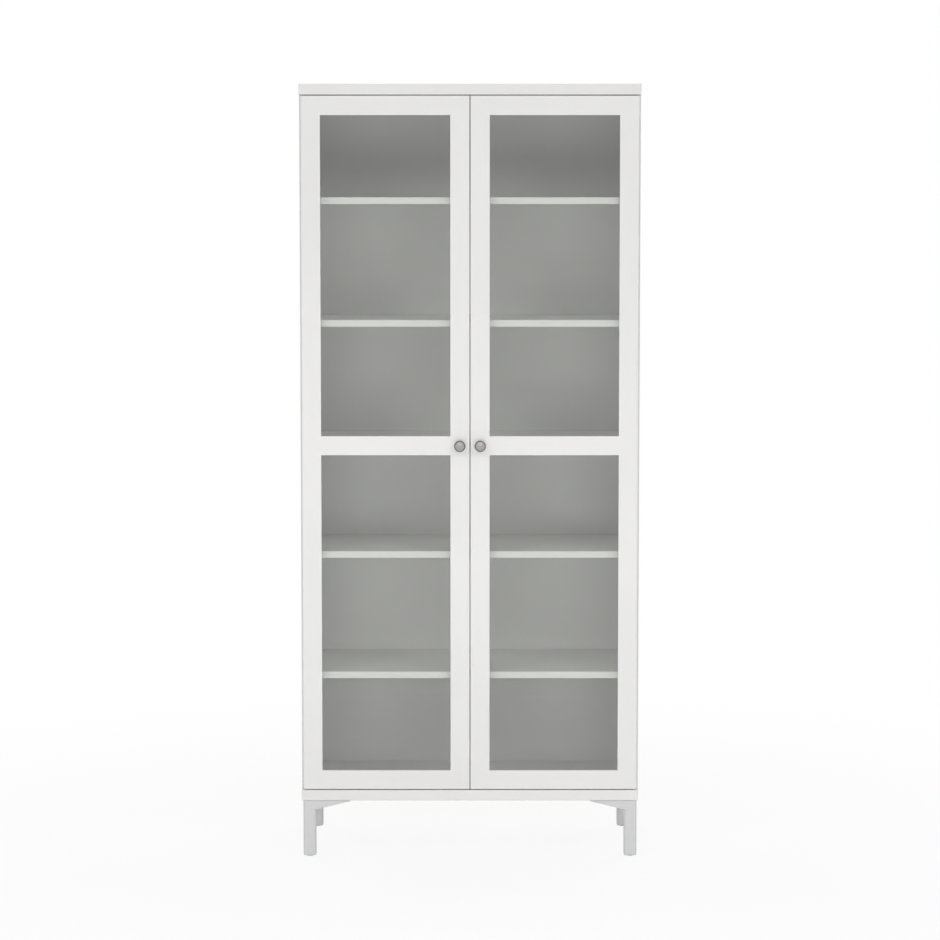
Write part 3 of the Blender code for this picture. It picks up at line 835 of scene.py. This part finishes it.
def merged(tree, operation, *shapes):
    """Closed shapes united, or the first less the others."""
    node = add(tree, "GeometryNodeMeshBoolean", operation=operation, solver="EXACT")
    others = list(shapes)
    if operation == "DIFFERENCE":
        tree.links.new(others.pop(0), node.inputs["Mesh 1"])
    for shape in others:
        tree.links.new(shape, node.inputs["Mesh 2"])
    return node.outputs["Mesh"]


def dome(tree, radius, height):
    """Half an ellipsoid on a flat underside: a flattened ball whose lower half is cut off."""
    ball = {"Segments": 32, "Rings": 16, "Radius": radius}
    ball = add(tree, "GeometryNodeMeshUVSphere", ball).outputs["Mesh"]
    squash = vector_of(tree, 1.0, 1.0, math_of(tree, "DIVIDE", height, radius))
    ball = add(tree, "GeometryNodeTransform", {"Geometry": ball, "Scale": squash}).outputs[0]
    wide = math_of(tree, "MULTIPLY", radius, 3.0)
    below = moved(tree, bar(tree, wide, wide, wide), math_of(tree, "MULTIPLY", wide, -0.5))
    return merged(tree, "DIFFERENCE", ball, below)


def half_round(tree, entry):
    """A plain dome, for a stop or a nail."""
    return dome(tree, entry["Radius"], entry["Height"])


def screw_head(tree, entry):
    """A domed head with a cross recess, cut by two blocks whose middle is on the head's top."""
    width, length, depth = entry["Recess Width"], entry["Recess Length"], entry["Recess Depth"]
    head = dome(tree, entry["Head Radius"], entry["Head Height"])
    deep = math_of(tree, "MULTIPLY", depth, 2.0)
    cuts = [bar(tree, width, length, deep), bar(tree, length, width, deep)]
    cuts = [moved(tree, cut, entry["Head Height"]) for cut in cuts]
    return merged(tree, "DIFFERENCE", head, *cuts)


def shelf_pin(tree, entry):
    """A pin with a collar on the panel and a chamfered end, pointing out of the panel."""
    radius, reach, depth = entry["Pin Radius"], entry["Reach"], entry["Depth"]
    collar, width = entry["Collar Radius"], entry["Collar Width"]
    chamfer = math_of(tree, "MULTIPLY", radius, PIN_CHAMFER_SHARE)
    straight = math_of(tree, "SUBTRACT", reach, chamfer)
    shank = frustum(tree, radius, radius, math_of(tree, "ADD", straight, depth))
    shank = moved(tree, shank, math_of(tree, "MULTIPLY", depth, -1.0))
    # The end starts inside the shank and a little thinner, so that no two faces coincide
    stepped = math_of(tree, "MULTIPLY", radius, PIN_END_SHARE)
    blunt = math_of(tree, "SUBTRACT", radius, chamfer)
    length = math_of(tree, "MULTIPLY", chamfer, PIN_END_IN_CHAMFERS)
    end = frustum(tree, stepped, blunt, length)
    end = moved(tree, end, math_of(tree, "SUBTRACT", reach, length))
    bevel = math_of(tree, "MULTIPLY", width, COLLAR_BEVEL_SHARE)
    ring = frustum(tree, collar, math_of(tree, "SUBTRACT", collar, bevel), width)
    return merged(tree, "UNION", shank, end, ring)


def cover_cap(tree, entry):
    """A thin round cap with a chamfered rim over a cam lock."""
    radius, height = entry["Cap Radius"], entry["Cap Height"]
    rim = math_of(tree, "MULTIPLY", height, CAP_RIM_SHARE)
    base = frustum(tree, radius, radius, rim, CAP_FACETS)
    stepped = math_of(tree, "MULTIPLY", radius, CAP_TOP_SHARE)
    narrow = math_of(tree, "SUBTRACT", radius, height)
    top = frustum(tree, stepped, narrow, height, CAP_FACETS)
    return merged(tree, "UNION", base, top)


def sheet_wedge(tree, entry):
    """A square plastic wedge with sloping sides."""
    corner = math_of(tree, "MULTIPLY", entry["Half Width"], math.sqrt(2))
    top = math_of(tree, "MULTIPLY", corner, WEDGE_TOP_SHARE)
    return frustum(tree, corner, top, entry["Wedge Height"], 4)


def turned_way(tree):
    """The rotation of a point: along its facing, and turned about that by its spin."""
    facing = {"Vector": named(tree, "facing", "FLOAT_VECTOR")}
    facing = add(tree, "FunctionNodeAlignRotationToVector", facing, axis="Z").outputs[0]
    spin = {"Axis": UP, "Angle": named(tree, "spin", "FLOAT")}
    spin = add(tree, "FunctionNodeAxisAngleToRotation", spin).outputs[0]
    inputs = {"Rotation": facing, "Rotate By": spin}
    return add(tree, "FunctionNodeRotateRotation", inputs, rotation_space="LOCAL").outputs[0]


def repeat_tree(name, lengths, shape):
    """A tree that stands a shape on every point."""
    tree = bpy.data.node_groups.new(name, "GeometryNodeTree")
    sockets = tree.interface
    sockets.new_socket("Geometry", in_out="OUTPUT", socket_type="NodeSocketGeometry")
    sockets.new_socket("Geometry", in_out="INPUT", socket_type="NodeSocketGeometry")
    for label in lengths:
        sockets.new_socket(label, in_out="INPUT", socket_type="NodeSocketFloat").subtype = "DISTANCE"
    sockets.new_socket("Material", in_out="INPUT", socket_type="NodeSocketMaterial")
    entry = tree.nodes.new("NodeGroupInput").outputs
    way = turned_way(tree)
    inputs = {"Points": entry["Geometry"], "Instance": shape(tree, entry), "Rotation": way}
    stood = add(tree, "GeometryNodeInstanceOnPoints", inputs).outputs[0]
    whole = add(tree, "GeometryNodeRealizeInstances", {0: stood}).outputs[0]
    inputs = {"Geometry": whole, "Material": entry["Material"]}
    painted = add(tree, "GeometryNodeSetMaterial", inputs).outputs[0]
    add(tree, "NodeGroupOutput", {"Geometry": painted})
    return tree


def points_of(name, spots):
    """A mesh of loose points, each with a facing and a spin."""
    points = bpy.data.meshes.new(name)
    points.from_pydata([place for place, _, _ in spots], [], [])
    facing = points.attributes.new("facing", "FLOAT_VECTOR", "POINT")
    facing.data.foreach_set("vector", [number for _, way, _ in spots for number in way])
    spin = points.attributes.new("spin", "FLOAT", "POINT")
    spin.data.foreach_set("value", [turn for _, _, turn in spots])
    return points


def repeat(name, tree, sizes, spots, finish, body):
    """Run a tree over spots of (place, facing, spin) and show the result as one plain piece."""
    points = points_of(name, spots)
    holder = add_object(name, points)
    modifier = holder.modifiers.new("repeat", "NODES")
    modifier.node_group = tree
    values = {**sizes, "Material": finish}
    for socket in tree.interface.items_tree:
        if socket.in_out == "INPUT" and socket.name in values:
            modifier[socket.identifier] = values[socket.name]
    graph = bpy.context.evaluated_depsgraph_get()
    mesh = bpy.data.meshes.new_from_object(holder.evaluated_get(graph))
    bpy.data.objects.remove(holder)
    bpy.data.meshes.remove(points)
    mesh.name = name
    mesh.polygons.foreach_set("material_index", [0] * len(mesh.polygons))
    mesh.materials.clear()
    mesh.materials.append(finish)
    mesh.shade_smooth()
    mesh.set_sharp_from_angle(angle=SMOOTH_TURN)
    return put(name, mesh, body)


def make_shelf_pins(finish):
    """The sixteen pins under the loose shelves."""
    lengths = {
        "Pin Radius": PIN_RADIUS,
        "Reach": PIN_REACH,
        "Depth": PIN_IN_PANEL,
        "Collar Radius": PIN_COLLAR_RADIUS,
        "Collar Width": PIN_COLLAR,
    }
    spots, nodes = [], []
    for side, sign in SIDES.items():
        panel = middle_of(f"side_panel_{side}").x - sign * PANEL / 2 - sign * FIT
        for shelf in LOOSE_SHELVES:
            for end in ENDS:
                node = f"shelf_{shelf}_pin_{end}_{side}"
                middle = middle_of(node)
                spots.append(((panel, middle.y, middle.z), (-sign, 0, 0), PIN_SPIN * shelf))
                nodes.append(node)
    tree = repeat_tree("shelf_pin", lengths, shelf_pin)
    pins = repeat("shelf_pins", tree, lengths, spots, finish, "cabinet")
    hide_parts(*nodes)


def spread(places, way):
    """Give each place a facing and its own spin."""
    return [(place, way, FIRST_SPIN + NEXT_SPIN * i) for i, place in enumerate(places)]


def hinge_screw_spots(side):
    """Places on one door's cup flanges and on its plates' wings."""
    sign = SIDES[side]
    deep = middle_of(f"shelf_1_pin_front_{side}").y
    flanges, wings = [], []
    for level in LEVELS:
        low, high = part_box(f"hinge_cup_{level}_{side}")
        middle = (low + high) / 2
        for up in (-FLANGE_SCREW_SPACING / 2, FLANGE_SCREW_SPACING / 2):
            flanges.append((middle.x, high.y, middle.z + up))
        low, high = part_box(f"hinge_plate_{level}_{side}")
        inner = low.x if sign > 0 else high.x
        for up in (-WING_SCREW_SPACING / 2, WING_SCREW_SPACING / 2):
            wings.append((inner, deep, (low.z + high.z) / 2 + up))
    return spread(flanges, BACKWARD), spread(wings, (-sign, 0, 0))


def arm_face(outline, deep):
    """How far from the cabinet's middle an arm's free face is at a depth, and its slope there."""
    before = min((x, y) for y, x in outline if y <= deep)
    after = min((x, y) for y, x in outline if y >= deep)
    slope = (after[0] - before[0]) / (after[1] - before[1])
    return before[0] + slope * (deep - before[1]), slope


def arm_screw_spots(side):
    """Places for the two adjusting screws on each arm."""
    sign = SIDES[side]
    spots = []
    for level in LEVELS:
        node = f"hinge_arm_{level}_{side}"
        low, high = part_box(node)
        corners = frame["nodes"][node].data.vertices
        outline = {(round(corner.co.y, 5), round(sign * corner.co.x, 5)) for corner in corners}
        for number, along in enumerate(ARM_SCREWS):
            deep = low.y + along
            across, slope = arm_face(outline, deep)
            place = (sign * across, deep, (low.z + high.z) / 2)
            spots.append((place, (-sign, slope, 0), ARM_SCREW_SPIN + number))
    return spots


def make_screws(leg_screws, finish):
    """Screw heads on the hinges, behind the knobs and on the leg plates."""
    tree = repeat_tree("screw_head", SMALL_SCREW, screw_head)
    carcass = []
    for side in SIDES:
        flanges, wings = hinge_screw_spots(side)
        carcass += wings + arm_screw_spots(side)
        body = f"{side}_door"
        repeat(f"cup_screws_{side}", tree, SMALL_SCREW, flanges, finish, body)
        knob = middle_of(f"knob_{side}")
        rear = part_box(f"door_frame_{side}")[1].y
        spots = spread([(knob.x, rear, knob.z)], BACKWARD)
        repeat(f"knob_screw_{side}", tree, LARGE_SCREW, spots, finish, body)
    repeat("plate_screws", tree, SMALL_SCREW, carcass, finish, "cabinet")
    repeat("leg_screws", tree, LARGE_SCREW, leg_screws, finish, "cabinet")


def make_caps(finish):
    """Covers over the cam locks of the side panels and the fixed shelf."""
    lengths = {"Cap Radius": CAP_RADIUS, "Cap Height": CAP_HEIGHT}
    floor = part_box("base_board")[1].z
    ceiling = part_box("top_board")[0].z
    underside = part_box("fixed_shelf")[0].z
    depths = [middle_of(f"shelf_1_pin_{end}_left").y for end in ENDS]
    spots = []
    for side, sign in SIDES.items():
        inner = middle_of(f"side_panel_{side}").x - sign * PANEL / 2
        for deep in depths:
            for height in (floor + CAP_INSET, ceiling - CAP_INSET):
                spots.append(((inner, deep, height), (-sign, 0, 0), 0.0))
            spots.append(((inner - sign * CAP_INSET, deep, underside), DOWN, 0.0))
    tree = repeat_tree("cover_cap", lengths, cover_cap)
    repeat("cover_caps", tree, lengths, spots, finish, "cabinet")


def make_stops(finish):
    """Soft stops on the front edges of the side panels."""
    lengths = {"Radius": STOP_RADIUS, "Height": STOP_HEIGHT}
    spots = []
    for side in SIDES:
        low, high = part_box(f"side_panel_{side}")
        for height in (low.z + STOP_FROM_END, high.z - STOP_FROM_END):
            spots.append((((low.x + high.x) / 2, low.y, height), FORWARD, 0.0))
    tree = repeat_tree("door_stop", lengths, half_round)
    repeat("door_stops", tree, lengths, spots, finish, "cabinet")


def wedge_places():
    """Places round the back sheet: three along each end and four up each side."""
    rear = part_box("back_panel")[1].y
    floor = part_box("base_board")[1].z + WEDGE_HALF
    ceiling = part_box("top_board")[0].z - WEDGE_HALF
    edge = middle_of("side_panel_right").x - PANEL / 2 - WEDGE_HALF
    places = [(x, rear, z) for x in (-edge / 2, 0, edge / 2) for z in (floor, ceiling)]
    for share in WEDGE_HEIGHT_SHARES:
        height = floor + (ceiling - floor) * share
        places += [(-edge, rear, height), (edge, rear, height)]
    return places


def make_wedges(places, finish):
    """Wedges that press the back sheet into its groove."""
    lengths = {"Half Width": WEDGE_HALF, "Wedge Height": WEDGE_HEIGHT}
    spots = [(place, BACKWARD, math.pi / 4) for place in places]
    tree = repeat_tree("sheet_wedge", lengths, sheet_wedge)
    repeat("sheet_wedges", tree, lengths, spots, finish, "cabinet")


def make_nails(places, finish):
    """The head of the small nail through each wedge."""
    lengths = {"Radius": NAIL_RADIUS, "Height": NAIL_HEIGHT}
    spots = [((x, y + WEDGE_HEIGHT, z), BACKWARD, 0.0) for x, y, z in places]
    tree = repeat_tree("nail_head", lengths, half_round)
    repeat("nail_heads", tree, lengths, spots, finish, "cabinet")


def seen_as_white(tree):
    """1 for rays that show the background, straight or in metal and glass."""
    return any_ray(tree, "Is Camera Ray", "Is Glossy Ray", "Is Transmission Ray")


def make_camera():
    """The camera, level across and tilted a little down."""
    data = bpy.data.cameras.new("camera")
    data.lens = LENS
    data.clip_end = FARTHEST_SEEN
    camera = add_object("camera", data)
    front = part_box("door_frame_left")[0].y
    camera.location = (0, front - CAMERA_DISTANCE, CAMERA_HEIGHT)
    camera.rotation_euler = (math.pi / 2 - CAMERA_TILT, 0, 0)
    bpy.context.scene.camera = camera


def floor_finish():
    """Pale near the cabinet, and shown as plain white farther out, like the background."""
    made, tree, shader = blank_finish("pale_floor", 0.7)
    tree.links.new(shades(tree, grain(tree, scale=3.0), FLOOR_TONES), shader.inputs["Base Color"])
    glow = add(tree, "ShaderNodeEmission", {"Color": WHITE, "Strength": 1.0})
    reach = length_of(tree, place_on_piece(tree))
    inputs = {"Value": reach, "From Min": SHADOW_FULL, "From Max": SHADOW_GONE}
    inputs.update({"To Min": NEAR_GLOW, "To Max": 1.0})
    fade = add(tree, "ShaderNodeMapRange", inputs, interpolation_type="SMOOTHSTEP").outputs[0]
    share = math_of(tree, "MULTIPLY", seen_as_white(tree), fade)
    blend(tree, "Material Output", share, shader, glow)
    return made


def make_floor():
    """A floor that keeps a soft shadow and meets the white background."""
    mesh = bpy.data.meshes.new("floor")
    shape = bmesh.new()
    bmesh.ops.create_grid(shape, x_segments=1, y_segments=1, size=FLOOR_HALF)
    shape.to_mesh(mesh)
    shape.free()
    floor = add_object("floor", mesh)
    mesh.materials.append(floor_finish())


def make_world():
    """White where it is seen, and a dim even light elsewhere."""
    world = bpy.data.worlds.new("studio")
    bpy.context.scene.world = world
    world.use_nodes = True
    tree = world.node_tree
    dim = tree.nodes["Background"]
    dim.inputs["Color"].default_value = WHITE
    dim.inputs["Strength"].default_value = AMBIENT
    white = add(tree, "ShaderNodeBackground", {"Color": WHITE, "Strength": 1.0})
    blend(tree, "World Output", seen_as_white(tree), dim, white)


def area_lamp(name, place, aim, size, power):
    """A soft box that faces a point. Gloss, metal and glass show it only if it is mirrored."""
    data = bpy.data.lights.new(name, "AREA")
    data.shape = "RECTANGLE"
    data.size, data.size_y = size
    data.energy = power
    lamp = add_object(name, data)
    lamp.location = place
    lamp.rotation_euler = (Vector(aim) - Vector(place)).to_track_quat("-Z", "Y").to_euler()
    lamp.visible_camera = False
    lamp.visible_glossy = name in MIRRORED_LAMPS
    lamp.visible_transmission = name in MIRRORED_LAMPS


def make_lamps():
    """The lamps on both sides, then those in the middle."""
    for side, sign in SIDES.items():
        for name, lamp in SIDE_LAMPS.items():
            x, y, z = lamp["place"]
            area_lamp(f"{name}_{side}", **{**lamp, "place": (sign * x, y, z)})
    for name, lamp in MIDDLE_LAMPS.items():
        area_lamp(name, **lamp)


# Finishes
BOARD_FOIL = board_foil()
DOOR_LACQUER = door_lacquer()
LEG_COAT = leg_coat()
HINGE_STEEL = plated_steel("hinge_nickel", HINGE_TONES, low=0.2, high=0.3)
PIN_STEEL = plated_steel("pin_zinc", PIN_TONES, low=0.28, high=0.4)
PAD_PLASTIC = moulded_plastic("pad_grey", PAD_TONES, low=0.5, high=0.65)
BEAD_PLASTIC = moulded_plastic("bead_white", BEAD_TONES, low=0.35, high=0.45)
STOP_RUBBER = moulded_plastic("stop_rubber", RUBBER_TONES, low=0.45, high=0.6)
dress_solids(
    {
        "white_board": BOARD_FOIL,
        "door_paint": DOOR_LACQUER,
        "back_sheet": sheet_finish(middle_of("back_panel").y),
        "clear_glass": clear_glass(),
        "leg_paint": LEG_COAT,
        "brushed_knob": HINGE_STEEL,
        "hinge_steel": HINGE_STEEL,
        "pin_steel": PIN_STEEL,
        "pad_plastic": PAD_PLASTIC,
    }
)

# Pieces
leg_screws = []
for side in SIDES:
    make_knob(side)
    make_door_frame(side, DOOR_LACQUER)
    make_beads(side, BEAD_PLASTIC)
    for level in LEVELS:
        make_cup(side, level, HINGE_STEEL)
        make_plate(side, level, HINGE_STEEL)
        make_arm(side, level, HINGE_STEEL)
    for end in ENDS:
        leg_screws += make_leg(side, end, LEG_COAT)
        make_pad(side, end, PAD_PLASTIC)
make_shelf_pins(PIN_STEEL)
make_screws(leg_screws, PIN_STEEL)
make_caps(BEAD_PLASTIC)
make_stops(STOP_RUBBER)
make_wedges(wedge_places(), BEAD_PLASTIC)
make_nails(wedge_places(), PIN_STEEL)

# Studio
make_camera()
make_floor()
make_world()
make_lamps()
bpy.context.scene.view_settings.view_transform = "Standard"
